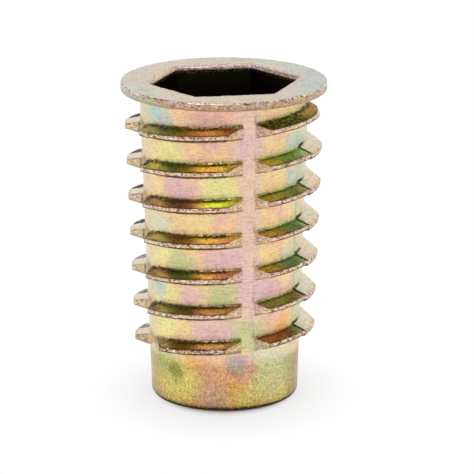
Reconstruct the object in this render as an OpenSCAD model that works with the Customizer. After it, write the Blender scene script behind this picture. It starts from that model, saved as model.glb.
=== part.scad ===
// Flanged hex-drive threaded insert for wood, cast in one piece: a tapered sleeve with a thin
// flange, a hexagon socket in the top, a bore for a machine screw below it, and a coarse outer
// thread that four narrow strips along the sleeve break into ribs.
// The origin is the middle of the lower end, +Z points up to the flange, and angles round the
// sleeve are counted from the front (-Y) towards +X. Sizes are in millimetres.

/* [Sleeve] */
// Height from the lower end to the top of the flange
overall_length = 25; // [22:0.5:40]
// Diameter of the sleeve's wall where it meets the flange
wall_top_d = 13; // [12.8:0.05:13.6]
// Diameter that the sleeve's wall would have at the lower end, before its edge is rounded
wall_bottom_d = 11.36; // [11.2:0.02:12.6]
// Radius of the rounded outer edge at the lower end
lower_edge_r = 0.6; // [0.3:0.05:0.7]
// Radius of the fillet between the wall and the flange
neck_fillet_r = 0.25; // [0.1:0.05:0.4]

/* [Flange] */
// Diameter of the flange
flange_d = 15.9; // [15.8:0.1:20]
// Thickness of the flange
flange_thickness = 0.65; // [0.5:0.05:1.5]
// Radius of the flange's two outer edges
flange_edge_r = 0.12; // [0.05:0.01:0.2]

/* [Hexagon socket] */
// Distance across the flats of the socket
hex_across_flats = 10.1; // [9:0.1:10.2]
// Depth of the socket, measured from the top of the flange
hex_depth = 6; // [4.5:0.5:8]
// Width and depth of the bevel round the mouth of the socket
hex_bevel = 0.3; // [0.1:0.05:0.5]
// Angle that the socket is turned by about the insert's axis
hex_turn = 9.2; // [0:0.1:60]

/* [Inner bore] */
// Diameter of the bore, which is the inner diameter of the screw thread cut in it
bore_d = 8.5; // [6.8:0.1:8.8]
// Diameter of the cone that leads from the floor of the socket into the bore
bore_lead_d = 9.8; // [9.2:0.1:10]
// Width and depth of the bevel where the bore opens at the lower end
bore_bevel = 0.45; // [0.2:0.05:0.5]

/* [Outer thread] */
// Rise of the thread in one turn
pitch = 2.83; // [2.4:0.01:3]
// Height of the thread above the wall, next to the flange
thread_depth_top = 1.25; // [0.9:0.01:1.3]
// Height of the thread above the wall, extended to the lower end
thread_depth_bottom = 1.12; // [0.8:0.01:1.2]
// Width of the flat crest of the thread
crest_land = 0.36; // [0.2:0.02:0.5]
// Slope of the thread's two flanks, from level
flank_angle = 15; // [10:1:25]
// How far the root fillet above the thread reaches out from the wall
root_fillet = 0.22; // [0.1:0.02:0.3]
// Slope of the root fillet, from level
root_fillet_angle = 50; // [40:1:65]
// Distance from the flange down to the lower edge of the crest, at the front of the top turn
thread_drop = 2.29; // [2.2:0.01:4]
// Angle past the front at which the thread dies out under the flange
thread_top_end = 92; // [70:1:104]
// Number of thread ribs, four to a turn with four strips
rib_count = 27; // [8:1:27]
// Angle over which the thread's first and last ribs rise out of the wall
runout_angle = 28; // [15:1:45]
// How far lower the crests lie on the rear half of the casting, past the parting line
rear_drop = 0.14; // [0:0.02:0.2]

/* [Strips] */
// Number of plain strips along the sleeve, where the thread is broken
strip_count = 4; // [2:2:6]
// Width of a strip
strip_width = 1; // [0.6:0.05:1.4]
// Height of a strip above the wall
strip_proud = 0.05; // [0.02:0.01:0.1]
// Angle of the first strip
strip_turn = 17.3; // [0:0.1:60]
// Height above the wall of the sloping end of a rib, where it meets a strip
rib_end_step = 0.24; // [0.1:0.02:0.4]
// Distance from a strip's middle line to the full crest, on ribs with a steep end
rib_end_short = 1.4; // [1.1:0.05:2.2]
// Distance from a strip's middle line to the full crest, on ribs with a gentle end
rib_end_long = 1.95; // [1.1:0.05:2.4]
// Distance from a strip's middle line to the full crest, where a rib ends at the rear right
rib_end_rear = 2.6; // [1.1:0.05:3]
// Distance from a strip's middle line to the full crest, where the lowest whole rib starts
rib_end_first = 3.1; // [1.1:0.05:3.4]

/* [Hidden] */
$fn = 96;
// How far a cut passes through a surface, or a joined piece sinks into the one that carries it
sink = 0.4;
// How far a rib laps onto the strip, and how far the thread dips into the wall where it ends
rib_lap = 0.06;
dip = 0.1;
// Flat steps in the arc of a rib's full crest, and in a rib on which the thread runs out
crest_steps = 8;
runout_steps = 22;
// Half of the angle over which a rib steps down at the parting line
parting_half = 0.4;
// Height of the flange's lower face, and the sleeve's taper
flange_z = overall_length - flange_thickness;
taper = atan((wall_top_d - wall_bottom_d) / 2 / flange_z);
// Angle between neighbouring strips, and the lowest rib's number, where the top rib is rib 0
strip_pitch = 360 / strip_count;
lowest_rib = 1 - rib_count;
// Angle at which the thread starts at its lower end, just past a strip
thread_bottom_start = strip_turn + strip_pitch * lowest_rib + 8;

// Radius of the plain wall, the thread's height and the full crest's radius, at a height z
function wall_r(z) = (wall_bottom_d + (wall_top_d - wall_bottom_d) * z / flange_z) / 2;
function thread_depth(z) =
    thread_depth_bottom + (thread_depth_top - thread_depth_bottom) * z / flange_z;
function crest_r(z) = wall_r(z) + thread_depth(z);

// Height of the lower edge of the crest at an angle: 0 is the front of the top turn
function crest_z(angle) = flange_z - thread_drop + pitch * angle / 360;

// Whether the parting line crosses the middle of a rib, and whether a place that is some degrees
// past a rib's first strip lies in the rear half
function parted(rib) = (strip_pitch * rib) % 180 == 0;
function in_rear_half(rib, turn) =
    let (past = (strip_pitch * (rib - 0.5) + turn) % 360)
    (past + 360) % 360 < 180;

// A rib's ends are steep on every other rib, but long at the rear right and at the lowest start
function rib_reach(rib, late) =
    late && rib % strip_count == 0 ? rib_end_rear :
    !late && rib == lowest_rib + 1 ? rib_end_first :
    rib % 2 == 0 ? rib_end_short : rib_end_long;

// Radius of a rib's flat sloping end at an angle from the strip beside it
function slope_r(turn, z, reach) =
    let (foot = strip_width / 2)
    let (foot_out = sqrt(pow(wall_r(z) + rib_end_step, 2) - pow(foot, 2)))
    let (rise = sqrt(pow(crest_r(z), 2) - pow(reach, 2)) - foot_out)
    let (run = reach - foot)
    (foot * rise - foot_out * run) / (sin(turn) * rise - cos(turn) * run);

// Share of its full height that the thread has at an angle, near its two ends
function runout(angle) =
    let (ahead = min(thread_top_end - angle, angle - thread_bottom_start) / runout_angle)
    ahead >= 1 ? 1 : sqrt(max(0, 1 - pow(1 - ahead, 2)));

// Radius of a rib's crest at an angle from the strip at its start
function rib_r(rib, turn, z) =
    let (near = min(turn, strip_pitch - turn), reach = rib_reach(rib, turn > strip_pitch / 2))
    let (full = crest_r(z), sloped = near < asin(reach / full))
    let (top = sloped ? min(full, slope_r(near, z, reach)) : full)
    let (share = runout(strip_turn + strip_pitch * rib + turn))
    wall_r(z) - dip + (top - wall_r(z) + dip) * share;

// Section of a rib, as [radius, height] points from its lower root round to its upper root
function rib_section(rib, turn) =
    let (z = crest_z(strip_turn + strip_pitch * rib + turn))
    let (r = rib_r(rib, turn, z), full = crest_r(z), root = wall_r(z) - sink)
    let (slope = tan(flank_angle), fillet = min(wall_r(z) + root_fillet, r - rib_lap))
    let (drop = rib < 0 && in_rear_half(rib, turn) ? rear_drop / thread_depth(z) : 0)
    let (crest_drop = drop * (r - wall_r(z)))
    let (fillet_z = z + crest_land + (full - fillet) * slope - drop * (fillet - wall_r(z)))
    [
        [root, z - (full - root) * slope],
        [r, z - (full - r) * slope - crest_drop],
        [r, z + crest_land + (full - r) * slope - crest_drop],
        [fillet, fillet_z],
        [root, fillet_z + (fillet - root) * tan(root_fillet_angle)],
    ];

// Angles of a rib's sections from the strip at its start: both sloping ends and the crest
// between them, or even steps where the thread runs out
function rib_turns(rib) =
    let (z = crest_z(strip_turn + strip_pitch * (rib + 0.5)))
    let (foot_r = wall_r(z) + rib_end_step)
    let (lap = asin((strip_width / 2 - rib_lap) / foot_r), foot = asin(strip_width / 2 / foot_r))
    let (crest = asin(rib_reach(rib, false) / crest_r(z)))
    let (crest_end = strip_pitch - asin(rib_reach(rib, true) / crest_r(z)))
    let (start = [lap, foot], end = [strip_pitch - foot, strip_pitch - lap])
    let (first = thread_bottom_start - strip_turn - strip_pitch * rib)
    let (last = thread_top_end - strip_turn - strip_pitch * rib)
    rib == 0 ? concat(start, spread(crest, last, runout_steps)) :
    rib == lowest_rib ? concat(spread(first, crest_end, runout_steps), end) :
    parted(rib) ?
        concat(
            start,
            spread(crest, strip_pitch / 2 - parting_half, crest_steps / 2),
            spread(strip_pitch / 2 + parting_half, crest_end, crest_steps / 2),
            end
        ) :
    concat(start, spread(crest, crest_end, crest_steps), end);

// Evenly spaced numbers
function spread(from, to, steps) = [for (i = [0:steps]) from + (to - from) * i / steps];

// A point of a section at its angle round the sleeve
function placed(point, angle) = [point[0] * sin(angle), -point[0] * cos(angle), point[1]];

// One rib of the outer thread, between two strips
module thread_rib(rib) {
    turns = rib_turns(rib);
    start = strip_turn + strip_pitch * rib;
    sides = 5;
    last = len(turns) - 1;
    points = [for (turn = turns, point = rib_section(rib, turn)) placed(point, start + turn)];
    skin = [
        for (i = [0:last - 1], j = [0:sides - 1])
            let (a = i * sides + j, b = i * sides + (j + 1) % sides)
            each [[a, b, a + sides], [b, b + sides, a + sides]]
    ];
    // Both caps fan out from the fillet's point, because the section is hollow there
    fan = 3;
    caps = [
        for (j = [1:sides - 2])
            let (a = (fan + j) % sides, b = (fan + j + 1) % sides, far = last * sides)
            each [[fan, b, a], [far + fan, far + a, far + b]]
    ];
    polyhedron(points = points, faces = concat(skin, caps), convexity = 4);
}

// Half section of the sleeve's lower end with its rounded edge, up to a height
module lower_end_section() {
    centre_r = wall_bottom_d / 2 + lower_edge_r * tan(taper) - lower_edge_r / cos(taper);
    translate([centre_r, lower_edge_r]) circle(lower_edge_r);
    polygon([
        [0, 0],
        [centre_r, 0],
        [centre_r + lower_edge_r * cos(taper), lower_edge_r * (1 - sin(taper))],
        [wall_top_d / 2, flange_z],
        [0, flange_z],
    ]);
}

// Half section of the flange, with rounded outer edges
module flange_section() {
    flat_r = flange_d / 2 - flange_edge_r;
    translate([0, flange_z]) square([flat_r, flange_thickness]);
    translate([0, flange_z + flange_edge_r])
        square([flange_d / 2, flange_thickness - 2 * flange_edge_r]);
    for (z = [flange_z + flange_edge_r, overall_length - flange_edge_r])
        translate([flat_r, z]) circle(flange_edge_r);
}

// Half section of the fillet under the flange
module neck_fillet_section() {
    low_z = flange_z - neck_fillet_r;
    low_r = wall_r(low_z);
    difference() {
        translate([low_r - sink, low_z]) square([neck_fillet_r + sink, neck_fillet_r]);
        translate([low_r + neck_fillet_r, low_z]) circle(neck_fillet_r);
    }
}

// The sleeve and its flange, still solid inside
module sleeve() {
    rotate_extrude() {
        lower_end_section();
        flange_section();
        neck_fillet_section();
    }
}

// Lowest crest crossing of a strip, which is where the strip ends
function strip_end_z(strip) =
    let (lowest = ceil((lowest_rib + 1 - strip) / strip_count) * strip_count + strip)
    let (z = crest_z(strip_turn + strip_pitch * lowest))
    z - thread_depth(z) * tan(flank_angle);

// A plain strip along the sleeve, from the thread's lowest crossing up to the flange
module strip(number) {
    low_z = strip_end_z(number);
    intersection() {
        translate([0, 0, low_z])
            cylinder(
                h = flange_z - low_z,
                r1 = wall_r(low_z) + strip_proud,
                r2 = wall_r(flange_z) + strip_proud
            );
        rotate(strip_turn + strip_pitch * number)
            translate([-strip_width / 2, -wall_top_d, 0])
                cube([strip_width, wall_top_d, flange_z]);
    }
}

// The hexagon socket, with its bevelled mouth and the cone that leads into the bore
module hex_socket() {
    corner_r = hex_across_flats / 2 / cos(30);
    bevel_r = hex_bevel / cos(30);
    floor_z = overall_length - hex_depth;
    lead_h = (bore_lead_d - bore_d) / 2;
    rotate(hex_turn) {
        translate([0, 0, floor_z]) cylinder(h = hex_depth + sink, r = corner_r, $fn = 6);
        translate([0, 0, overall_length - hex_bevel])
            cylinder(
                h = 2 * hex_bevel,
                r1 = corner_r,
                r2 = corner_r + 2 * bevel_r,
                $fn = 6
            );
    }
    translate([0, 0, floor_z - lead_h]) cylinder(h = lead_h, d1 = bore_d, d2 = bore_lead_d);
}

// The bore for the machine screw, with its bevelled lower mouth
module screw_bore() {
    translate([0, 0, -sink]) cylinder(h = overall_length - hex_depth + 2 * sink, d = bore_d);
    translate([0, 0, -bore_bevel])
        cylinder(h = 2 * bore_bevel, d1 = bore_d + 4 * bore_bevel, d2 = bore_d);
}

module threaded_insert() {
    color([0.80, 0.72, 0.52])
        difference() {
            union() {
                sleeve();
                for (number = [0:strip_count - 1]) strip(number);
                for (rib = [lowest_rib:0]) thread_rib(rib);
            }
            hex_socket();
            screw_bore();
        }
}

threaded_insert();
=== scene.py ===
import math
from types import SimpleNamespace

import bmesh
import bpy
from mathutils import Matrix, Vector, noise


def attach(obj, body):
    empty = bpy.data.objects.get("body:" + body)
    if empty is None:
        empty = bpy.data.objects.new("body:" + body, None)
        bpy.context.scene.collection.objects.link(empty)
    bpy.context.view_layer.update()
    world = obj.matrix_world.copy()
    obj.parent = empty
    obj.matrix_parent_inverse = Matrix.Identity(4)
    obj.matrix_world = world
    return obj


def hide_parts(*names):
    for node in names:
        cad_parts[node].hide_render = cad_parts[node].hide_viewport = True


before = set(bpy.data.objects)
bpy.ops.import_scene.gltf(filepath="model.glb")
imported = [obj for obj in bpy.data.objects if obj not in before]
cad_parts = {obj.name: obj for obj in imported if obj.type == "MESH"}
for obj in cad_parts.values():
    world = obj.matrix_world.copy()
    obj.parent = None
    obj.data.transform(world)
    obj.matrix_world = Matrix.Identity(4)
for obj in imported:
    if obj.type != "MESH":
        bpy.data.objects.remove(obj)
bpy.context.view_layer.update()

# ---------------------------------------------------------------------------
# Sizes of the casting, in millimetres and degrees. The origin is the middle of the lower end, and
# angles round the sleeve are counted from the front (-Y) towards +X.
# ---------------------------------------------------------------------------
LENGTH = 25.0
FLANGE_R, FLANGE_THICKNESS, FLANGE_EDGE_R = 7.95, 0.65, 0.12
FLANGE_Z = LENGTH - FLANGE_THICKNESS
WALL_TOP_R, WALL_BOTTOM_R, LOWER_EDGE_R = 6.5, 5.68, 0.6
NECK_FILLET_R = 0.25
NECK_Z = FLANGE_Z - NECK_FILLET_R

HEX_FLAT_R, HEX_DEPTH, HEX_BEVEL, HEX_TURN = 5.05, 6.0, 0.3, 9.2
SOCKET_FLOOR_Z = LENGTH - HEX_DEPTH

PITCH = 2.83
DEPTH_TOP, DEPTH_BOTTOM = 1.25, 1.12
CREST_LAND, FLANK_SLOPE = 0.36, math.tan(math.radians(15))
THREAD_DROP = 2.29
RIB_THINNEST, LIP_ROUND, HEEL_ROUND, ROOT_ROUND = 0.12, 0.05, 0.09, 0.3
STRIP_TURN, STRIP_WIDTH, STRIP_SHOWN = 17.3, 1.0, 0.015
PARTING = STRIP_TURN + 45
DIE_STEP = 0.14     # by which the rear half's crests lie lower

# Rib 0 is the top one. Each starts at its own strip, 90 degrees on from the rib before it, and its
# number divided by four leaves the side that it is on.
LOWEST_RIB, LOWEST_FRONT_RIB = -26, -25
RIGHT, REAR_LEFT, FRONT = 0, 2, 3
THREAD_START, THREAD_END = STRIP_TURN + 90 * LOWEST_RIB + 8, 92.0
RUNOUT, RUNOUT_SINK, TOP_END_SLANT = 28.0, 0.1, 12

# A rib's sloping ends: how far they reach from a strip's middle line, how far they stand above the
# wall at their foot, and how hollow they are
REACH_SHORT, REACH_LONG, REACH_REAR, REACH_FIRST = 1.4, 1.95, 2.6, 3.1
FOOT_STEP, FOOT_STEP_AT_START = 0.24, 0.04
END_HOLLOW, END_HOLLOW_WORN = 0.015, 0.07

SCREW_PITCH, SCREW_CREST_R, SCREW_ROOT_R = 1.5, 4.25, 4.96
SCREW_LEAD, SCREW_BEVEL = 0.72, 0.45
SCREW_TOP_Z, SCREW_BOTTOM_Z = SOCKET_FLOOR_Z - 0.1, 0.75

# The outer skin has 300 columns of points to a turn, 75 between the middles of two strips
COLUMNS = 300
QUARTER, HALF_RIB = COLUMNS // 4, COLUMNS // 8
STEP = 360 / COLUMNS
STRIP_COLUMNS = 3
CREASE = 0.08       # degrees by which the points either side of a strip's edge stand off it
SKIN_START, SKIN_TURNS, SKIN_BOTTOM_Z = -2640, 9, 3.3
SEAM = 1.7          # height above a crest at which one turn's rows meet the next turn's

# How uneven the casting is: its waviness all over, and its grain and lift where it is rough
WAVINESS, CAST_GRAIN, CAST_LIFT = 0.006, 0.03, 0.05
TRUE_R = 4.99       # nothing within this radius is uneven, so that the bore stays true
SHARP_ANGLE = 50    # past which an edge isn't shaded smooth
METRES_PER_MM = 0.001

FINISHES = ("rough_cast", "upper_flank", "dark_edge", "thin_film")


def finish(rough_cast=0, upper_flank=0, dark_edge=0, thin_film=0):
    """Values of the finish at a point, in the order of FINISHES."""
    return rough_cast, upper_flank, dark_edge, thin_film


PLAIN = finish()


def mixed(a, b, share):
    return a + (b - a) * share


def smooth(low, high, value):
    share = min(1, max(0, (value - low) / (high - low)))
    return share * share * (3 - 2 * share)


def wall_r(z):
    return mixed(WALL_BOTTOM_R, WALL_TOP_R, z / FLANGE_Z)


def thread_depth(z):
    return mixed(DEPTH_BOTTOM, DEPTH_TOP, z / FLANGE_Z)


def crest_z(angle):
    return FLANGE_Z - THREAD_DROP + PITCH * angle / 360


# ---------------------------------------------------------------------------
# The outer thread
# ---------------------------------------------------------------------------
def rib_section(top, depth):
    """One pitch of the sleeve's half section where the rib stands top high, from the seam below it
    to the seam above: heights above the wall, and above the full crest's lower edge."""
    cut = max(top, RIB_THINNEST)
    low, high = (cut - depth) * FLANK_SLOPE, CREST_LAND + (depth - cut) * FLANK_SLOPE
    lip, heel = min(LIP_ROUND, cut * 0.4), min(HEEL_ROUND, cut * 0.5)
    hollow = min(ROOT_ROUND, cut * 0.8)
    foot = -depth * FLANK_SLOPE
    over = CREST_LAND + (depth - hollow) * FLANK_SLOPE
    land = high - low
    below, above = foot - heel, over + hollow * 1.05
    # The wall below the rib, the heel and the lower flank
    points = [(0, mixed(SEAM - PITCH, below, s)) for s in (0, 0.45, 0.8)]
    points += [(0, below), (heel * 0.3, foot - heel * 0.25)]
    points += [(cut * s, foot + cut * s * FLANK_SLOPE) for s in (0.2, 0.45, 0.72)]
    # The crest between its two edges
    points += [(cut - lip, low - lip * FLANK_SLOPE), (cut - lip * 0.3, low + lip * 0.2)]
    points += [(cut, low + mixed(lip, land - lip, s)) for s in (0, 0.2, 0.5, 0.75, 1)]
    points += [(cut - lip * 0.3, high - lip * 0.2), (cut - lip, high + lip * FLANK_SLOPE)]
    # The upper flank, the hollow of its root and the wall above
    points += [
        (mixed(cut - lip, hollow, s), mixed(high + lip * FLANK_SLOPE, over, s))
        for s in (0.3, 0.65)
    ]
    corner = over + hollow * FLANK_SLOPE
    for s in (0, 0.25, 0.5, 0.75, 1):
        w = over * (1 - s) ** 2 + corner * 2 * s * (1 - s) + above * s * s
        points.append((hollow * (1 - s) ** 2, w))
    points += [(0, mixed(above, SEAM, s)) for s in (0.3, 0.65, 1)]
    return [(h * top / cut, w) for h, w in points]


# Finish of each row of the section: how rough as cast, how much upper flank, how much painted shade
ROW_FINISH = (
    [(0, 0, 0)] * 3                                                         # wall below
    + [(0, 0, 0.3), (0, 0, 0.7), (0, 0, 0.7), (0, 0, 0.9), (0, 0, 0.9)]     # heel, lower flank
    + [(0.6, 0, 0.6), (1, 0, 0.9), (1, 0, 0.7), (1, 0, 0.15)]               # crest's lower edge
    + [(1, 0, 0)] * 3                                                       # crest
    + [(1, 0, 0.35), (0.5, 0.6, 0.6)]                                       # crest's upper edge
    + [(0, 1, 0.02), (0, 1, 0.12)]                                          # upper flank
    + [(0, 1, 0.4), (0, 1, 0.65), (0, 0.9, 0.75), (0, 0.45, 0.55), (0, 0.1, 0.3)]   # root
    + [(0, 0, 0.12), (0, 0, 0), (0, 0, 0)]                                  # wall above
)
CREST_ROW, LIP_ROW, ROOT_ROW = 8, 15, 19
NOMINAL = rib_section(1, 1.2)       # an everyday section, which gives each row its level
ROWS = len(NOMINAL)
assert len(ROW_FINISH) == ROWS


def rib_reach(rib, at_start):
    """Distance from a strip's middle line to the full crest, and the column that it falls on."""
    if rib == LOWEST_FRONT_RIB and at_start:
        return REACH_FIRST, 21
    if rib % 4 == RIGHT and not at_start:
        return REACH_REAR, 14
    return (REACH_SHORT, 9) if rib % 2 == 0 else (REACH_LONG, 13)


def turned(column, z, row):
    """Where a column of points stands: its rib, its role there, its distance in degrees from the
    strip before the rib and from the nearer strip, and how far that end's slope reaches."""
    rib, place = divmod(column, QUARTER)
    at_start = place <= HALF_RIB
    near = min(place, QUARTER - place)
    reach, corner_column = rib_reach(rib, at_start)
    if row in (0, ROWS - 1) and reach == REACH_FIRST:
        reach, corner_column = REACH_LONG, 13
    foot = math.degrees(math.asin(STRIP_WIDTH / 2 / (wall_r(z) + FOOT_STEP)))
    corner = math.degrees(math.asin(reach / (wall_r(z) + thread_depth(z))))
    if near <= STRIP_COLUMNS:
        role, angle = "strip", (foot - CREASE) * near / STRIP_COLUMNS
    elif near <= corner_column:
        share = (near - STRIP_COLUMNS - 1) / (corner_column - STRIP_COLUMNS - 1)
        role, angle = "slope", mixed(foot + CREASE, corner, share)
    else:
        share = (near - corner_column) / (QUARTER / 2 - corner_column)
        role, angle = "rib", mixed(corner, 45, share)
        if rib % 2 == 0 and near >= HALF_RIB - 1:       # beside the parting line
            angle = 45 - (0.04 if near == HALF_RIB else 1.0)
    return rib, role, angle if at_start else 90 - angle, angle, reach


def slope_height(angle, z, reach, hollow, step):
    """Height of a rib's sloping end above the wall: a flat facet, a little hollow on a worn die."""
    foot, turn = STRIP_WIDTH / 2, math.radians(angle)
    foot_out = math.sqrt((wall_r(z) + step) ** 2 - foot**2)
    crest = wall_r(z) + thread_depth(z)
    rise, run = math.sqrt(crest**2 - reach**2) - foot_out, reach - foot
    r = (foot * rise - foot_out * run) / (math.sin(turn) * rise - math.cos(turn) * run)
    share = (r * math.sin(turn) - foot) / run
    return min(crest, r) - wall_r(z) - hollow * math.sin(math.pi * min(1, max(0, share)))


def runout(angle):
    """Share of the thread's full height at an angle: each of its ends dies away on a curve."""
    ahead = min(THREAD_END - angle, angle - THREAD_START) / RUNOUT
    ahead = min(1, max(0, ahead))
    return math.sqrt(1 - (1 - ahead) ** 2)


def strip_end_z(number):
    """Lowest crossing of the thread over a strip, below which the strip stops."""
    lowest = math.ceil((LOWEST_RIB + 1 - number) / 4) * 4 + number
    z = crest_z(STRIP_TURN + 90 * lowest)
    return z - thread_depth(z) * FLANK_SLOPE - 0.05


def wing(rib, around):
    """How much a point is on a wing: a rib's stretch past the parting line on the right or past
    the rear strip on the left, where its upper flank is as pale as the flange."""
    if rib == 0:
        return 0
    rear_strip = STRIP_TURN - 90
    right = smooth(PARTING, PARTING + 0.1, around) * smooth(125, 105, around)
    left = smooth(rear_strip, rear_strip - 0.5, around) * smooth(-125, -105, around)
    return right + left


def end_finish(row, rib, local, rough, flank, dark):
    """Finish on a rib's sloping end: smoother than the crest, with more painted shade at the
    front's starts.
    """
    at_start = local < 45
    rough, dark = rough * 0.6, dark * (0.35 if at_start else 0.6)
    if rib == LOWEST_FRONT_RIB and at_start:
        least_rough, flank_left, deepest = 0.8, 0.3, 0.06
    else:
        least_rough, flank_left, deepest = 0.2, 0.85, 0.40
    # Painted shade on the front ribs' starts, deeper away from the strip on the upper flank
    if rib % 4 == FRONT and at_start and CREST_ROW <= row <= ROOT_ROW + 2:
        rough, flank = max(rough * 0.6, least_rough), flank * flank_left
        dark = max(dark, 0.24 + deepest * smooth(5, 11, local) * (row > LIP_ROW))
    # Painted shade along the rear-left ends, where they meet the strip
    if rib % 4 == REAR_LEFT and local > 84:
        rough, dark = rough * 0.6, max(dark, smooth(84.9, 85.5, local) * 0.75)
    return rough, flank, dark


def rib_finish(row, rib, role, local, turn, top):
    """Values of the finish at a point of the outer thread."""
    if role == "strip":
        return PLAIN
    rough, flank, dark = ROW_FINISH[row]
    around = (turn + 180) % 360 - 180
    pale = wing(rib, around)
    if role == "slope":
        rough, flank, dark = end_finish(row, rib, local, rough, flank, dark)
    # On the wings the painted shade is kept only as a line along the root
    if pale and row >= LIP_ROW:
        root_line = 0.2 + 0.7 * smooth(78, 67, around) if around > 0 else 0.3
        in_root = row in (ROOT_ROW + 2, ROOT_ROW + 3)
        dark = mixed(dark, root_line if in_root else 0, pale)
    if rib < 0 and rib % 2 == 0 and abs(local - 45) < 1.1 and LIP_ROW <= row <= ROOT_ROW + 1:
        # Painted shade in the step at the parting line
        dark = 1
    if LIP_ROW <= row <= ROOT_ROW + 2:
        # An arc of painted shade across the left wings' upper flanks, starting further round near
        # the crest
        begin = (-100, -100, -98, -97, -96, -95.5, -95)[row - LIP_ROW]
        arc_behind = smooth(begin, begin - 3, around) * smooth(-128, -122, around)
        dark = max(dark, arc_behind * (1 if rib > -18 else 0.6))
    if rib == 0 and row > LIP_ROW:
        # The top rib lies in the flange's shade up to its slanted end
        end = smooth(52, 66, around)
        rough, dark = max(rough, end * flank * 0.3), max(dark, flank * (0.72 - 0.5 * end))
    if rib % 4 == RIGHT and rib < 0 and row > LIP_ROW and around < PARTING - 2:
        # The roots on the right get less painted shade than those in front
        dark *= 0.55
    share = min(1, max(top, 0) / 0.3)
    return finish(
        rough * share, flank * share * (1 - 0.85 * pale), dark * share, pale * share * flank,
    )


def thread_point(column, row):
    """Place of a point of the outer skin, and its finish."""
    w = NOMINAL[row][1]
    rib, role, local, angle, reach = turned(column, crest_z(STRIP_TURN + STEP * column) + w, row)
    turn = STRIP_TURN + 90 * rib + local
    level = crest_z(turn)
    full = thread_depth(level)
    late = local > 45
    if role == "strip":
        h, top = STRIP_SHOWN if level + w > strip_end_z((rib + late) % 4) else 0, 0
    else:
        top = full
        if role == "slope":
            hollow = END_HOLLOW_WORN if late and rib % 2 else END_HOLLOW
            step = FOOT_STEP if late else FOOT_STEP_AT_START
            top = slope_height(angle, level, reach, hollow, step)
        top = mixed(-RUNOUT_SINK, top, runout(turn + TOP_END_SLANT * max(w, 0) * (rib == 0)))
        h, w = rib_section(max(top, 0), full)[row]
        in_rear_half = 45 < (90 * rib + local) % 360 < 225
        if rib != 0 and in_rear_half:
            w -= DIE_STEP * h / full
    z = level + w
    r, a = wall_r(z) + h, math.radians(turn)
    place = Vector((r * math.sin(a), -r * math.cos(a), z))
    return place, rib_finish(row, rib, role, local, turn, top)


def wound(bm, chain, pitch, columns, turns):
    """A chain of points spun one turn up a screw line, and the turn repeated upwards."""
    edges = [bm.edges.new(pair) for pair in zip(chain, chain[1:])]
    bmesh.ops.spin(
        bm, geom=chain + edges, cent=(0, 0, 0), axis=(0, 0, 1),
        dvec=(0, 0, pitch / columns), angle=math.radians(360), steps=columns,
    )
    turn = bm.verts[:] + bm.edges[:] + bm.faces[:]
    for number in range(1, turns):
        copy = bmesh.ops.duplicate(bm, geom=turn)["geom"]
        copied = [g for g in copy if isinstance(g, bmesh.types.BMVert)]
        bmesh.ops.translate(bm, vec=(0, 0, pitch * number), verts=copied)


def skin_of_thread(bm, layers):
    """The sleeve's section wound up the sleeve, with every point then moved to its own place."""
    first = math.floor((SKIN_START - STRIP_TURN) / STEP)
    start = math.radians(STRIP_TURN + STEP * first)
    row_layer = bm.verts.layers.int.new("row")
    chain = []
    for row, (h, w) in enumerate(NOMINAL):
        r = WALL_BOTTOM_R + h
        v = bm.verts.new((math.sin(start) * r, -math.cos(start) * r, w))
        v[row_layer] = row
        chain.append(v)
    base = [v.co.z for v in chain]
    wound(bm, chain, PITCH, COLUMNS, SKIN_TURNS)
    for v in bm.verts:
        row = v[row_layer]
        column = first + round((v.co.z - base[row]) / (PITCH / COLUMNS))
        v.co, values = thread_point(column, row)
        for layer, value in zip(layers, values):
            v[layer] = value
    bmesh.ops.remove_doubles(bm, verts=bm.verts, dist=1e-4)


# ---------------------------------------------------------------------------
# The flange, the socket, the bore and the lower end
# ---------------------------------------------------------------------------
def cut_level(bm, z, keep_below):
    bmesh.ops.bisect_plane(
        bm, geom=bm.verts[:] + bm.edges[:] + bm.faces[:], dist=1e-5,
        plane_co=(0, 0, z), plane_no=(0, 0, 1), clear_outer=keep_below, clear_inner=not keep_below,
    )


def rim_at(bm, z, tolerance=1e-4):
    """Open edges at a height."""
    return [
        e for e in bm.edges
        if e.is_boundary and all(abs(v.co.z - z) < tolerance for v in e.verts)
    ]


def drawn_on(bm, ring, place, layers, values=PLAIN):
    """Extrudes a closed ring of edges and moves each new point to place(angle, radius)."""
    made = bmesh.ops.extrude_edge_only(bm, edges=ring)["geom"]
    fresh = {g for g in made if isinstance(g, bmesh.types.BMVert)}
    for v in fresh:
        angle = math.degrees(math.atan2(v.co.x, -v.co.y))
        r, z = place(angle, math.hypot(v.co.x, v.co.y))
        a = math.radians(angle)
        v.co = (r * math.sin(a), -r * math.cos(a), z)
        for layer, value in zip(layers, values):
            v[layer] = value
    return [g for g in made if isinstance(g, bmesh.types.BMEdge) and fresh.issuperset(g.verts)]


def lathe_on(bm, ring, stations, layers, values=PLAIN):
    """Draws a ring on through round stations, each a radius and a height."""
    for r, z in stations:
        ring = drawn_on(bm, ring, lambda angle, old, r=r, z=z: (r, z), layers, values)
    return ring


def hex_r(angle, outwards=0.0):
    """Radius of the socket's hexagon at an angle, its flats moved outwards."""
    side = (angle - HEX_TURN + 30) % 60 - 30
    return (HEX_FLAT_R + outwards) / math.cos(math.radians(side))


def hexagon_on(bm, ring, stations, layers, values=PLAIN):
    """Draws a ring on through hexagons, each given by how far its flats are out and its height."""
    for out, z in stations:
        ring = drawn_on(
            bm, ring, lambda angle, old, out=out, z=z: (hex_r(angle, out), z), layers, values,
        )
    return ring


def arc(centre_r, centre_z, radius, start, end, steps):
    """Points of an arc in the half section, after its first: 0 degrees points outwards, 90 up."""
    angles = [math.radians(mixed(start, end, (i + 1) / steps)) for i in range(steps)]
    return [(centre_r + radius * math.cos(a), centre_z + radius * math.sin(a)) for a in angles]


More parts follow.
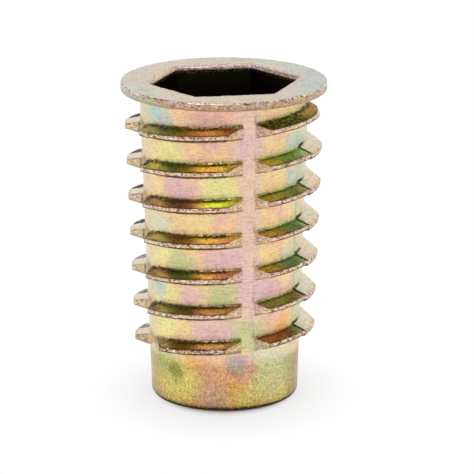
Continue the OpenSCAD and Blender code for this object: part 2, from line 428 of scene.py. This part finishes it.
def flange_and_socket(bm, layers):
    """On from the wall's top: under the flange, over its rim and top, and down into the socket."""
    ring = rim_at(bm, NECK_Z, 0.01)
    neck_r = wall_r(NECK_Z) + NECK_FILLET_R
    flat_r = FLANGE_R - FLANGE_EDGE_R
    for r, z in arc(neck_r, NECK_Z, NECK_FILLET_R, 180, 90, 4):
        ring = drawn_on(bm, ring, lambda angle, old, r=r, z=z: (max(r, old), z), layers)
    under = [(mixed(neck_r, flat_r, s), FLANGE_Z) for s in (0.3, 0.65, 1)]
    low, high = FLANGE_Z + FLANGE_EDGE_R, LENGTH - FLANGE_EDGE_R
    lower_edge = arc(flat_r, low, FLANGE_EDGE_R, -90, 0, 3)
    rim = [(FLANGE_R, mixed(low, high, s)) for s in (0.25, 0.5, 0.75, 1)]
    upper_edge = arc(flat_r, high, FLANGE_EDGE_R, 0, 90, 3)
    # Painted shade under the flange and along its rim's lower edge
    for stations, values in (
        (under, finish(dark_edge=0.5)),
        (lower_edge, finish(rough_cast=0.8, dark_edge=0.3)),
        (rim[:1], finish(rough_cast=0.8, dark_edge=0.2)),
        (rim[1:], finish(rough_cast=0.9)),
        (upper_edge[:1], finish(rough_cast=1, thin_film=0.3)),
        (upper_edge[1:], finish(rough_cast=0.9, thin_film=1)),
    ):
        ring = lathe_on(bm, ring, stations, layers, values)
    for s in (0.03, 0.07, 0.2, 0.4, 0.6, 0.8, 0.94, 1):
        ring = drawn_on(
            bm, ring, lambda angle, old, s=s: (mixed(flat_r, hex_r(angle, HEX_BEVEL), s), LENGTH),
            layers, finish(rough_cast=0.1 if s < 0.9 else 0.6, thin_film=1),
        )
    turns = [math.radians(18 * (i + 1)) for i in range(5)]
    mouth = [
        (HEX_BEVEL * (1 - math.sin(a)), LENGTH - HEX_BEVEL * (1 - math.cos(a))) for a in turns
    ]
    ring = hexagon_on(bm, ring, mouth, layers, finish(rough_cast=0.5, thin_film=1))
    walls = [(0, LENGTH - depth) for depth in (0.45, 0.7, 1.1, 1.8, 2.8, 3.8, 4.8, 5.6, 5.9)]
    ring = hexagon_on(bm, ring, walls + [(-0.05, SOCKET_FLOOR_Z)], layers)
    lathe_on(bm, ring, [(SCREW_CREST_R + SCREW_LEAD, SOCKET_FLOOR_Z)], layers)


def lower_end(bm, layers):
    """On from the skin's lower rim: down the wall, round the lower edge and into the bore."""
    ring = rim_at(bm, SKIN_BOTTOM_Z, 0.01)
    taper = math.atan((WALL_TOP_R - WALL_BOTTOM_R) / FLANGE_Z)
    edge_r = WALL_BOTTOM_R + LOWER_EDGE_R * (math.tan(taper) - 1 / math.cos(taper))
    wall = [(wall_r(z), z) for z in (2.9, 2.45, 2.0, 1.6, 1.2, 0.85)]
    wall += [(edge_r + LOWER_EDGE_R * math.cos(taper), LOWER_EDGE_R * (1 - math.sin(taper)))]
    ring = lathe_on(bm, ring, wall, layers)
    edge = arc(edge_r, LOWER_EDGE_R, LOWER_EDGE_R, -math.degrees(taper), -90, 8)
    # Painted shade on the lower edge's rounding, darkest at its foot next to the floor
    for point, dark in zip(edge, (0.2, 0.55, 0.95, 1, 1, 1, 1, 1)):
        ring = lathe_on(bm, ring, [point], layers, finish(dark_edge=dark))
    bevel_r = SCREW_CREST_R + SCREW_BEVEL
    bevel = [(4.88, 0), (bevel_r, 0), (4.48, 0.22), (SCREW_CREST_R, SCREW_BEVEL)]
    lathe_on(bm, ring, bevel, layers)


def screw_section():
    """Half section of one pitch of the screw thread in the bore, from a crest up to the next."""
    flank = (SCREW_ROOT_R - SCREW_CREST_R) * math.tan(math.radians(30))
    crest = (SCREW_PITCH - 2 * flank) * 0.66
    root = SCREW_PITCH - 2 * flank - crest
    heights = [0, crest, crest + flank / 2, crest + flank]
    heights += [crest + flank + root, SCREW_PITCH - flank / 2, SCREW_PITCH]
    middle = (SCREW_CREST_R + SCREW_ROOT_R) / 2
    radii = [SCREW_CREST_R] * 2 + [middle] + [SCREW_ROOT_R] * 2 + [middle, SCREW_CREST_R]
    return list(zip(radii, heights))


def screw_thread():
    """The thread in the bore, opened by a cone under the socket and fading out at the lower end."""
    bm = bmesh.new()
    start_z, columns, turns = -1.6, 96, 15
    chain = [bm.verts.new((0, -r, z + start_z)) for r, z in screw_section()]
    wound(bm, chain, SCREW_PITCH, columns, turns)
    bmesh.ops.remove_doubles(bm, verts=bm.verts, dist=1e-4)
    cut_level(bm, SCREW_TOP_Z, True)
    cut_level(bm, SCREW_BOTTOM_Z, False)
    for v in bm.verts:
        r, a = math.hypot(v.co.x, v.co.y), math.atan2(v.co.x, -v.co.y)
        r = mixed(SCREW_CREST_R, r, smooth(0.7, 1.6, v.co.z))
        r = max(r, SCREW_CREST_R + v.co.z - (SOCKET_FLOOR_Z - SCREW_LEAD))
        v.co.x, v.co.y = r * math.sin(a), -r * math.cos(a)
    mesh = bpy.data.meshes.new("bore")
    bm.to_mesh(mesh)
    bm.free()
    return mesh


def cast_roughness(bm, layers):
    """Small unevenness of a die casting: strong on crests and rims, faint on the wall."""
    for v in bm.verts:
        r = math.hypot(v.co.x, v.co.y)
        if v.co.z < 0.02 or r < TRUE_R:
            continue
        out = Vector((v.co.x, v.co.y, 0)).normalized()
        rough = v[layers[0]]
        coarse = noise.noise(v.co * 1.1 + Vector((7, 3, 1)))
        fine = noise.noise(v.co * 3.4) + 0.5 * noise.noise(v.co * 7.9)
        push = WAVINESS * coarse + rough * CAST_GRAIN * fine
        lift = rough * CAST_LIFT * noise.noise(v.co * 2.3 + Vector((31, 17, 5)))
        headroom = LENGTH - v.co.z
        lift = min(lift, max(headroom - 0.001, 0))
        if headroom < 0.001:
            lift, push = -0.008 * abs(coarse), 0
        v.co += out * min(push, FLANGE_R - r) + Vector((0, 0, lift))


def casting():
    """The whole insert as one closed skin."""
    bm = bmesh.new()
    for name in FINISHES:
        bm.verts.layers.float.new(name)
    layers = [bm.verts.layers.float[name] for name in FINISHES]
    skin_of_thread(bm, layers)
    cut_level(bm, NECK_Z, True)
    cut_level(bm, SKIN_BOTTOM_Z, False)
    flange_and_socket(bm, layers)
    lower_end(bm, layers)
    bore = screw_thread()
    bm.from_mesh(bore)
    bpy.data.meshes.remove(bore)
    for z, next_z in ((SOCKET_FLOOR_Z, SCREW_TOP_Z), (SCREW_BEVEL, SCREW_BOTTOM_Z)):
        bmesh.ops.bridge_loops(bm, edges=rim_at(bm, z) + rim_at(bm, next_z))
    cast_roughness(bm, [bm.verts.layers.float[name] for name in FINISHES])
    bmesh.ops.recalc_face_normals(bm, faces=bm.faces)
    for f in bm.faces:
        f.smooth = True
    for e in bm.edges:
        e.smooth = e.calc_face_angle(0) < math.radians(SHARP_ANGLE)
    bmesh.ops.scale(bm, vec=(METRES_PER_MM,) * 3, verts=bm.verts)
    mesh = bpy.data.meshes.new("insert_casting")
    bm.to_mesh(mesh)
    bm.free()
    piece = bpy.data.objects.new("insert_casting", mesh)
    bpy.context.scene.collection.objects.link(piece)
    return piece


# ---------------------------------------------------------------------------
# Shader trees
# ---------------------------------------------------------------------------
class Wire:
    """One output in a node tree. Arithmetic on it adds Math nodes."""

    def __init__(self, tree, socket):
        self.tree, self.socket = tree, socket

    def node(self, kind, settings=None, inputs=None, output=0):
        """Adds any node to the tree: its type, its settings, then the values or links of its
        sockets. It takes nothing from this wire but its tree."""
        made = self.tree.nodes.new("ShaderNode" + kind)
        for name, value in (settings or {}).items():
            if name == "stops":
                ramp = made.color_ramp
                while len(ramp.elements) < len(value):
                    ramp.elements.new(0.5)
                for element, (position, colour) in zip(ramp.elements, value):
                    element.position, element.color = position, (*colour, 1)
            else:
                setattr(made, name, value)
        for name, value in (inputs or {}).items():
            if isinstance(value, Wire):
                self.tree.links.new(value.socket, made.inputs[name])
            else:
                made.inputs[name].default_value = value
        return Wire(self.tree, made.outputs[output] if len(made.outputs) else None)

    def also(self, output):
        """Another output of the node that this one comes from."""
        return Wire(self.tree, self.socket.node.outputs[output])

    def math(self, operation, *others):
        return self.node("Math", {"operation": operation}, dict(enumerate((self, *others))))

    def __add__(self, other):
        return self.math("ADD", other)

    __radd__ = __add__

    def __sub__(self, other):
        return self.math("SUBTRACT", other)

    def __rsub__(self, other):
        return self.node("Math", {"operation": "SUBTRACT"}, {0: other, 1: self})

    def __mul__(self, other):
        return self.math("MULTIPLY", other)

    __rmul__ = __mul__

    def vector(self, operation, *others, output="Vector"):
        values = dict(enumerate((self, *others)))
        return self.node("VectorMath", {"operation": operation}, values, output)

    def scaled(self, factor):
        return self.node("VectorMath", {"operation": "SCALE"}, {0: self, "Scale": factor})

    def along(self, direction):
        """How far a position lies in a direction."""
        return self.vector("DOT_PRODUCT", direction, output="Value")

    def noise(self, scale, detail=2.0, roughness=0.5, distortion=0.0, output="Fac"):
        """Cloudy noise on a position, features about 1/scale apart."""
        return self.node(
            "TexNoise", None,
            {"Vector": self, "Scale": scale, "Detail": detail, "Roughness": roughness,
             "Distortion": distortion},
            output,
        )

    def between(self, low, high, start=0.0, end=1.0):
        """Smooth step of a value from start at low to end at high."""
        return self.node(
            "MapRange", {"interpolation_type": "SMOOTHSTEP"},
            {"Value": self, "From Min": low, "From Max": high, "To Min": start, "To Max": end},
        )

    def mix(self, share, low, high, blend="MIX"):
        low, high = ((*c, 1) if isinstance(c, tuple) else c for c in (low, high))
        return self.node(
            "Mix", {"data_type": "RGBA", "blend_type": blend}, {0: share, 6: low, 7: high}, 2,
        )

    def tinted(self, other, share, blend="MIX"):
        """This colour mixed with another."""
        return self.mix(share, self, other, blend)

    def colours(self, low, high):
        """The colour that this value gives on the way from low to high."""
        return self.mix(self, low, high)


def fresh_material(name):
    material = bpy.data.materials.new(name)
    material.use_nodes = True
    material.node_tree.nodes.clear()
    return material, Wire(material.node_tree, None)


# ---------------------------------------------------------------------------
# The yellow chromate film
# ---------------------------------------------------------------------------
# Tints that the film takes where it is thicker or thinner; SAGE and REED are painted shade at the
# sides
APRICOT, STRAW, BLUSH = (0.97, 0.60, 0.36), (0.96, 0.71, 0.34), (0.92, 0.53, 0.44)
MINT, ROSE, LILAC = (0.68, 0.74, 0.54), (0.78, 0.42, 0.42), (0.80, 0.50, 0.54)
LIME, LEAF, AMBER = (0.86, 0.82, 0.34), (0.56, 0.64, 0.30), (0.94, 0.50, 0.20)
TEAL, SMOKE, MAUVE = (0.46, 0.64, 0.62), (0.50, 0.48, 0.46), (0.80, 0.58, 0.56)
MAGENTA, OLIVE = (0.84, 0.34, 0.46), (0.36, 0.36, 0.13)
SAGE, REED = (0.56, 0.64, 0.44), (0.72, 0.68, 0.42)

# Stronger tints, on the upper flanks of the thread, partly a painted reflection of the wall
EMBER, UMBER, HONEY = (0.61, 0.24, 0.09), (0.66, 0.38, 0.13), (0.96, 0.60, 0.07)
GOLD, DRAB, KHAKI = (1.0, 0.80, 0.07), (0.73, 0.56, 0.12), (0.58, 0.68, 0.09)
ACID, MOSS, PINE = (0.66, 0.94, 0.05), (0.50, 0.77, 0.08), (0.36, 0.73, 0.29)
DARK_OLIVE, GREEN, ORANGE = (0.40, 0.46, 0.06), (0.34, 0.66, 0.03), (1.0, 0.62, 0.05)

# Thin tints, on the flange and the wings; SHELL on the socket's lip is partly a painted highlight
PEACH, OAT, CELADON = (0.82, 0.61, 0.45), (0.69, 0.69, 0.49), (0.62, 0.72, 0.62)
SAND, SLATE, OCHRE = (0.74, 0.66, 0.46), (0.52, 0.60, 0.58), (0.74, 0.62, 0.38)
SHELL, FERN, LICHEN = (0.98, 0.80, 0.72), (0.36, 0.54, 0.30), (0.46, 0.52, 0.38)

# Cast metal under a worn film, bare metal partly standing for painted highlight, highlights, dark
# pits, and painted shade
RUSSET, TAN, BARE_ZINC_AND_GLINT = (0.70, 0.42, 0.36), (0.70, 0.50, 0.22), (1.0, 0.92, 0.88)
RIM_HIGHLIGHT, LIP_HIGHLIGHT = (1.0, 0.95, 0.92), (1.0, 0.93, 0.88)
PIT, SHADE_DEEP, SHADE_OLIVE = (0.13, 0.06, 0.035), (0.035, 0.035, 0.01), (0.09, 0.075, 0.035)
DARK_INSIDE = (0.045, 0.04, 0.02)

# Colours that darken a film by multiplying: PILOT_SHADE is partly painted shade, the pilot's side
# shades wholly
LINE_SHADE, PILOT_SHADE, GROOVE_SHADE = (0.60, 0.58, 0.48), (0.81, 0.78, 0.50), (0.66, 0.50, 0.50)
PILOT_RIGHT_SHADE, PILOT_SIDE_SHADE = (0.84, 0.90, 0.92), (0.70, 0.71, 0.70)
FLANGE_SHADE, RIM_SHADE = (0.79, 0.85, 0.91), (0.80, 0.74, 0.68)
LOW_CREST_SHADE = (0.62, 0.58, 0.58)

# Patches of a tint: angle round the sleeve, height, size and tint
WALL_BLOOMS = (
    (-53, 23.3, 1.5, TEAL), (-8, 22.9, 1.8, ROSE), (-42, 20.4, 1.3, LIME), (-32, 17.6, 1.2, LILAC),
    (-1, 17.8, 1.3, LIME), (-46, 12.6, 1.3, LIME), (2, 12.2, 1.6, LILAC), (-3, 9.2, 1.3, LEAF),
    (-37, 11.8, 1.1, LEAF), (-26, 9.1, 1.0, LILAC), (-50, 8.8, 1.4, LIME), (16, 6.1, 1.4, LEAF),
    (-10, 6.2, 1.4, LILAC), (30, 9.3, 1.6, LILAC), (17, 21.5, 1.2, LILAC), (-24, 3.9, 0.9, AMBER),
    (10, 1.9, 1.5, AMBER), (40, 3.2, 2.3, MINT), (9, 3.7, 1.15, MAGENTA), (8, 3.9, 0.8, SMOKE),
    (-13, 2.3, 1.3, ROSE), (-38, 2.3, 1.4, LIME), (-50, 3.4, 1.1, LEAF), (-6, 0.9, 1.0, LILAC),
    (14, 0.9, 0.8, LIME), (-42, 2.9, 0.6, OLIVE), (60, 20.6, 1.3, TEAL), (60, 17.9, 1.0, TEAL),
    (-54, 14.8, 1.1, MINT), (-54, 12.6, 1.1, LIME), (-57, 9.6, 0.9, TEAL), (-53, 6.5, 1.3, LIME),
    (52, 11.9, 1.0, MINT), (48, 6.6, 0.9, AMBER),
)
GROOVE_BLOOMS = (
    (-17, 22.2, 0.9, HONEY), (6, 22.3, 1.0, EMBER), (-36, 19.4, 1.0, MOSS), (-14, 19.5, 1.1, GOLD),
    (7, 19.6, 0.8, KHAKI), (-38, 16.5, 1.3, UMBER), (-5, 16.7, 1.2, ACID), (9, 16.8, 0.6, MOSS),
    (-31, 13.7, 1.3, HONEY), (-2, 13.9, 1.3, UMBER), (-26, 10.9, 1.1, MOSS), (0, 11.1, 1.1, EMBER),
    (-38, 8.0, 1.1, KHAKI), (-5, 8.2, 1.2, EMBER), (-20, 5.3, 1.3, DRAB), (44, 20.0, 1.2, MOSS),
    (24, 19.8, 0.8, GOLD), (40, 17.1, 1.3, KHAKI), (57, 17.3, 0.7, DRAB), (28, 14.1, 1.0, DRAB),
    (52, 14.4, 1.0, PINE), (24, 11.2, 1.0, DRAB), (50, 11.5, 1.0, PINE), (40, 8.6, 1.5, KHAKI),
    (40, 5.8, 1.5, EMBER),
)
GROOVE_STOPS = (
    (0.10, (0.50, 0.44, 0.12)), (0.24, (0.76, 0.40, 0.12)), (0.38, (0.96, 0.66, 0.12)),
    (0.48, (0.84, 0.88, 0.08)), (0.58, (0.66, 0.40, 0.12)), (0.70, (0.42, 0.84, 0.09)),
    (0.90, (0.54, 0.82, 0.22)),
)
DRIFT = 3.4             # how far, in millimetres, the edges of patches wander
BLOOM_STRENGTH = 0.85


def level_direction(angle):
    """Level direction that points out of the sleeve at an angle."""
    a = math.radians(angle)
    return math.sin(a), -math.cos(a), 0


def places_on_casting(tree):
    """Measures in millimetres, the finish laid on the mesh, and the masks made of both."""
    on = SimpleNamespace()
    mm = on.mm = tree.node("TexCoord", None, None, "Object").scaled(1 / METRES_PER_MM)
    for name in FINISHES:
        setattr(on, name, tree.node("Attribute", {"attribute_name": name}, None, "Fac"))
    on.sideways = tree.node("SeparateXYZ", None, {0: mm}, "X")
    on.rearward, on.height = on.sideways.also("Y"), on.sideways.also("Z")
    on.sideways_squared = on.sideways * on.sideways
    on.radius = mm.vector("MULTIPLY", (1, 1, 0)).vector("LENGTH", output="Value")
    on.strip_side = mm.along(level_direction(STRIP_TURN))
    on.drift = mm.noise(0.6, 5.0, 0.65) * DRIFT
    on.grain = mm.noise(5.5, 3.0, 0.8)
    on.streaks = mm.vector("MULTIPLY", (1, 1, 9)).noise(1.1, 3.0, 0.7)
    on.worn = mm.vector("MULTIPLY", (1, 1, 1.6)).noise(4.2, 3.0, 0.7)
    # Painted shade of the finish, broken up by a noise
    on.soot = on.dark_edge + (on.worn - 0.5) * on.dark_edge * 3.2
    on.pilot = on.height.between(4.4, 3.4)
    on.flange_top = on.height.between(24.5, 24.9)
    on.lip = on.height.between(24.99, 24.95) * on.flange_top * on.radius.between(7.0, 6.6)
    on.rim = (
        on.height.between(24.2, 24.4) * on.radius.between(7.7, 7.9)
        * on.height.between(24.95, 24.88)
    )
    return on


def clouds(on, shift, scale, low, high):
    """Soft patches in one part of the noise, from 0 where it is under low to 1 over high."""
    return on.mm.vector("ADD", shift).noise(scale, 3.0, 0.6, 0.3).between(low, high)


def bloomed(on, colour, blooms, out=0.0):
    """A colour with patches of other tints, their edges drifting."""
    for angle, level, size, tint in blooms:
        a, r = math.radians(angle), wall_r(level) + out
        centre = (r * math.sin(a), -r * math.cos(a), level)
        away = on.mm.vector("DISTANCE", centre, output="Value") + on.drift
        full, none = size * 0.3 + DRIFT / 2, size * 1.7 + DRIFT / 2
        colour = colour.tinted(tint, away.between(full, none, BLOOM_STRENGTH, 0.0))
    return colour


def wall_film(on):
    """Pale gold, pink, lime and mint in turn, with greener painted shade at the sides and a pink
    front strip.
    """
    height, sideways, drift = on.height, on.sideways, on.drift
    colour = clouds(on, (3, 1, 8), 0.42, 0.38, 0.62).colours(APRICOT, STRAW)
    colour = colour.tinted(BLUSH, clouds(on, (40, 3, 17), 0.45, 0.50, 0.64) * 0.8)
    colour = colour.tinted(LIME, clouds(on, (9, 27, 55), 0.45, 0.55, 0.70) * 0.6)
    colour = colour.tinted(MINT, clouds(on, (71, 14, 2), 0.42, 0.60, 0.74) * 0.6)
    colour = bloomed(on, colour, WALL_BLOOMS)

    # Painted shade down the front's two sides: greener on the right, olive on the left
    spread = sideways * (1.14 - height * 0.0058)
    at_side = (on.rearward + drift * 0.6).between(1.8, 0.2) * height.between(3.0, 6.0, 0.4, 1.0)
    broken = clouds(on, (33, 7, 61), 0.4, 0.30, 0.50)
    right_side = (spread + drift * 0.3).between(5.5, 6.6)
    colour = colour.tinted(SAGE, right_side * at_side * broken * 0.75)
    left_side = (spread - drift * 0.3).between(-5.6, -7.0)
    colour = colour.tinted(REED, left_side * at_side * 0.7)
    across_strip = on.mm.along(level_direction(STRIP_TURN + 90)).math("ABSOLUTE")
    strip = across_strip.between(1.3, 0.6) * on.strip_side.between(0.0, 1.0)
    return colour.tinted(MAUVE, strip * height.between(6.5, 8.5) * 0.55)


def lined(on, colour):
    """The faint line that the die's parting leaves down the wall."""
    across = on.mm.along(level_direction(PARTING + 90)).math("ABSOLUTE")
    line = across.between(0.09, 0.02) * on.drift.between(1.2, 1.9)
    on_wall = (
        on.radius.between(6.7, 6.6) * on.height.between(4.6, 5.4)
        * on.height.between(18.0, 16.0, 0.2, 1.0)
    )
    return colour.tinted(LINE_SHADE, line * on_wall, "MULTIPLY")


def shaded_pilot(on, colour):
    """Thicker film on the plain stretch below the thread, partly painted shade, and painted shade
    round to its sides.
    """
    colour = colour.tinted(PILOT_SHADE, on.pilot, "MULTIPLY")
    # Painted shade towards the pilot's two sides, as seen from the front
    to_front = on.rearward.between(0.8, -1.2) * on.pilot
    right = on.sideways.between(4.4, 5.6) * to_front
    colour = colour.tinted(PILOT_RIGHT_SHADE, right, "MULTIPLY")
    both_sides = on.sideways_squared.between(17.0, 31.0) * to_front
    return colour.tinted(PILOT_SIDE_SHADE, both_sides, "MULTIPLY")


def groove_film(on):
    """Strong gold, brown and green on the thread's upper flanks, partly film and partly painted
    reflection of the wall.
    """
    height, sideways = on.height, on.sideways
    right = sideways.between(1.0, 3.0)
    along = sideways * 0.03 + right * 0.15 - 0.42 + height.between(20.0, 21.5) * right * 0.3
    along = along + height.between(18.0, 18.8) * height.between(21.2, 20.6) * 0.12
    colour = on.mm.node(
        "ValToRGB", {"stops": GROOVE_STOPS}, {0: on.mm.noise(0.3, 2.0, 0.5, 0.5) * 1.7 + along},
    )
    colour = colour.tinted(GROOVE_SHADE, height.between(13.5, 9.5) * 0.9, "MULTIPLY")
    colour = bloomed(on, colour, GROOVE_BLOOMS, 0.6)
    first_left = height.between(20.8, 21.4) * sideways.between(-2.0, -3.5)
    colour = colour.tinted(DARK_OLIVE, first_left * 0.8)
    first_right = height.between(21.2, 21.8) * right
    colour = colour.tinted(GREEN, first_right * 0.8)
    return colour.tinted(ORANGE, first_right * sideways.between(5.0, 6.2))


def flange_film(on):
    """Pale film on the flange's top and on the wings, greener to the right and at the mouth, whose
    pale lip is partly a painted highlight.
    """
    top = on.flange_top
    colour = clouds(on, (5, 60, 21), 0.5, 0.35, 0.65).colours(PEACH, OAT)
    colour = colour.tinted(CELADON, clouds(on, (14, 2, 33), 0.38, 0.50, 0.62) * top * 0.7)
    colour = colour.tinted(SAND, clouds(on, (21, 8, 33), 0.5, 0.48, 0.60) * top * 0.5)
    colour = colour.tinted(SLATE, on.sideways.between(3.0, 7.5) * top * 0.8)
    colour = colour.tinted(OCHRE, on.strip_side.between(4.5, 7.0) * top * 0.6)
    colour = colour.tinted(FLANGE_SHADE, top, "MULTIPLY")
    # The mouth's lip: pale film, partly a painted highlight on its rounded edge
    colour = colour.tinted(SHELL, on.lip)
    return colour.tinted(FERN, on.lip * on.sideways_squared.between(6.0, 14.0) * 0.75)


def speckled(on, colour):
    """Fine grain of other hues, dark and bright specks, and streaks round the sleeve."""
    hues = on.mm.noise(3.6, 4.0, 0.75, 0.0, "Color")
    colour = colour.tinted(hues, 0.30, "OVERLAY")
    strength = on.pilot * 1.3 + on.upper_flank * 2.6 + on.rough_cast * 1.1
    strength = strength + on.thin_film * 0.2 + 0.9
    return colour.scaled((0.5 - on.grain) * strength + 1.0 - on.streaks.between(0.50, 0.66) * 0.2)


def worn_and_highlit_edges(on, colour):
    """Crests and rim: brown as cast, with bright worn metal that is partly painted highlight,
    painted highlights on the rim's top edge and the socket's back lip, and dark pits.
    """
    height, radius, worn, rim, rough_cast = on.height, on.radius, on.worn, on.rim, on.rough_cast
    cast_film = clouds(on, (13, 31, 2), 0.6, 0.40, 0.60).colours(RUSSET, TAN)
    colour = colour.tinted(cast_film, rough_cast.between(0.0, 0.55) * 0.68)
    colour = colour.tinted(RIM_SHADE, rim, "MULTIPLY")
    colour = colour.tinted(LICHEN, rim * on.sideways.between(-4.0, -6.2) * 0.75)
    lowest_crests = rough_cast * height.between(6.5, 4.5)
    colour = colour.tinted(LOW_CREST_SHADE, lowest_crests, "MULTIPLY")
    # Painted highlight along the rim's top edge, broken up by a noise
    rim_line = height.between(24.86, 24.92) * height.between(25.0, 24.97) * radius.between(7.6, 7.7)
    colour = colour.tinted(RIM_HIGHLIGHT, rim_line * worn.between(0.47, 0.56))
    # Painted highlight on the socket's back lip
    middle = on.sideways_squared.between(12.0, 8.0)
    back_lip = on.lip * on.strip_side.between(-2.5, -4.0) * middle
    colour = colour.tinted(LIP_HIGHLIGHT, back_lip * worn.between(0.46, 0.56) * 0.9)
    # Bright worn metal on the crests and rim, partly painted highlight
    colour = colour.tinted(BARE_ZINC_AND_GLINT, rough_cast * worn.between(0.53, 0.62) * (0.9 - rim * 0.35))
    pitted = worn + height.between(2.0, 7.0, -0.03, 0.02) + rim * 0.02
    return colour.tinted(PIT, rough_cast * pitted.between(0.49, 0.42) * 0.9)


def sooted(on, colour):
    """Painted shade in the roots and under the crests, and in the socket and the bore."""
    # Painted shade, from near black to dark olive
    shade_colour = clouds(on, (4, 44, 9), 0.5, 0.42, 0.60).colours(SHADE_DEEP, SHADE_OLIVE)
    colour = colour.tinted(shade_colour, on.soot.between(0.05, 0.85) * 0.93)
    # Painted shade: the socket and the bore are painted near black
    taper = (WALL_TOP_R - WALL_BOTTOM_R) / FLANGE_Z
    under_wall = on.height * taper + WALL_BOTTOM_R - on.radius
    inside = (
        under_wall.between(0.4, 0.65) * (on.height + on.worn).between(25.25, 24.95)
        * on.height.between(0.1, 0.5)
    )
    return colour.tinted(DARK_INSIDE, inside * 0.98)


def yellow_chromate():
    """Zinc casting under a thin yellow chromate film, whose colour drifts with its thickness, with
    painted shade, highlights and reflection in the colour.
    """
    material, tree = fresh_material("yellow_chromated_zinc")
    on = places_on_casting(tree)
    colour = shaded_pilot(on, lined(on, wall_film(on)))
    colour = colour.tinted(groove_film(on), on.upper_flank * 0.9)
    colour = colour.tinted(flange_film(on), on.thin_film * 0.9)
    colour = sooted(on, worn_and_highlit_edges(on, speckled(on, colour)))
    roughness = 0.22 + on.grain * 0.16 - on.upper_flank * 0.08 + on.soot.between(0.4, 0.9) * 0.5
    hammered = on.mm.noise(2.6, 3.0, 0.6) * on.rough_cast
    relief = on.grain * 0.6 + on.streaks * 0.5 + hammered * 2.0
    normal = tree.node("Bump", None, {"Strength": 0.5, "Distance": 0.00006, "Height": relief})
    shader = tree.node(
        "BsdfPrincipled", None,
        {"Base Color": colour, "Metallic": 1.0, "Roughness": roughness, "Normal": normal},
    )
    tree.node("OutputMaterial", None, {"Surface": shader})
    return material


# ---------------------------------------------------------------------------
# The studio, in metres
# ---------------------------------------------------------------------------
FLOOR_REACH = 1.5
CAMERA_PLACE = (0, -0.28345, 0.09061)
CAMERA_DOWN, CAMERA_ASIDE, CAMERA_ROLL = 0.26897, 0.0035, -0.0016     # radians
FOCAL_PIXELS, FRAME_PIXELS, SENSOR_MM = 3784.5, 474, 36
WINDOW, SIDE_PANEL = (-0.30, -0.63, 0.715), (0.765, -0.09, 0.638)     # directions to them


def pale_floor():
    """Pale studio floor, which goes to white away from the insert and keeps its shadow near it."""
    material, tree = fresh_material("studio_floor")
    position = tree.node("TexCoord", None, None, "Object")
    away = position.vector("MULTIPLY", (1.25, 1, 1)).vector("LENGTH", output="Value")
    to_camera = tree.node("LightPath", None, None, "Is Camera Ray")
    glossy = to_camera.also("Is Glossy Ray")
    painted = tree.node("BsdfDiffuse", None, {"Color": (0.90, 0.875, 0.86, 1)})
    white = tree.node("Emission", None, {"Color": (1, 1, 1, 1), "Strength": 1.0})
    seen = away.between(0.0050, 0.0070, 0.0, 0.72) + away.between(0.006, 0.014, 0.0, 0.28)
    share = to_camera * seen + glossy * away.between(0.006, 0.011)
    both = tree.node("MixShader", None, {0: share, 1: painted, 2: white})
    tree.node("OutputMaterial", None, {"Surface": both})
    return material


def stage():
    bm = bmesh.new()
    bmesh.ops.create_grid(bm, x_segments=8, y_segments=8, size=FLOOR_REACH)
    mesh = bpy.data.meshes.new("studio_floor")
    bm.to_mesh(mesh)
    bm.free()
    floor = bpy.data.objects.new("studio_floor", mesh)
    bpy.context.scene.collection.objects.link(floor)
    mesh.materials.append(pale_floor())


def studio_world():
    """White low down, behind and straight overhead, and dim between but for a window and a panel,
    with a dim line in front along the horizon."""
    world = bpy.data.worlds.new("studio")
    bpy.context.scene.world = world
    world.use_nodes = True
    world.node_tree.nodes.clear()
    tree = Wire(world.node_tree, None)
    direction = tree.node("TexCoord", None, None, "Generated")
    back = tree.node("SeparateXYZ", None, {0: direction}, "Y")
    up = back.also("Z")
    raised = up - back.between(0.1, 0.8) * 0.55
    dome = raised.between(0.16, 0.34) * up.between(0.91, 0.76)
    horizon = up.between(0.0, 0.03) * up.between(0.17, 0.10) * back.between(0.3, -0.1)
    window = direction.along(WINDOW).between(0.90, 0.98)
    panel = direction.along(SIDE_PANEL).between(0.86, 0.95)
    level = (1.0 - dome * (0.90 - window * 2.8 - panel * 0.75)) * (1 - horizon * 0.75)
    to_camera = tree.node("LightPath", None, None, "Is Camera Ray")
    sky = tree.node("Background", None, {"Color": (1, 1, 1, 1), "Strength": level})
    white = tree.node("Background", None, {"Color": (1, 1, 1, 1), "Strength": 1.0})
    both = tree.node("MixShader", None, {0: to_camera, 1: sky, 2: white})
    tree.node("OutputWorld", None, {"Surface": both})


def camera():
    """A long lens, a little above the insert and looking down on it."""
    data = bpy.data.cameras.new("camera")
    made = bpy.data.objects.new("camera", data)
    bpy.context.scene.collection.objects.link(made)
    down, aside, roll = CAMERA_DOWN, CAMERA_ASIDE, CAMERA_ROLL
    forward = Vector((
        math.sin(aside) * math.cos(down), math.cos(aside) * math.cos(down), -math.sin(down),
    ))
    right = Vector((math.cos(aside), -math.sin(aside), 0))
    up = right.cross(forward)
    right, up = (
        right * math.cos(roll) + up * math.sin(roll), up * math.cos(roll) - right * math.sin(roll),
    )
    turn = Matrix((right, up, -forward)).transposed().to_4x4()
    made.matrix_world = Matrix.Translation(CAMERA_PLACE) @ turn
    data.sensor_width, data.lens = SENSOR_MM, FOCAL_PIXELS * SENSOR_MM / FRAME_PIXELS
    data.clip_start, data.clip_end = 0.01, 20
    bpy.context.scene.camera = made


insert = casting()
insert.data.materials.append(yellow_chromate())
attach(insert, "root")
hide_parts("threaded_insert")
stage()
studio_world()
camera()

bpy.context.scene.view_settings.view_transform = "Standard"
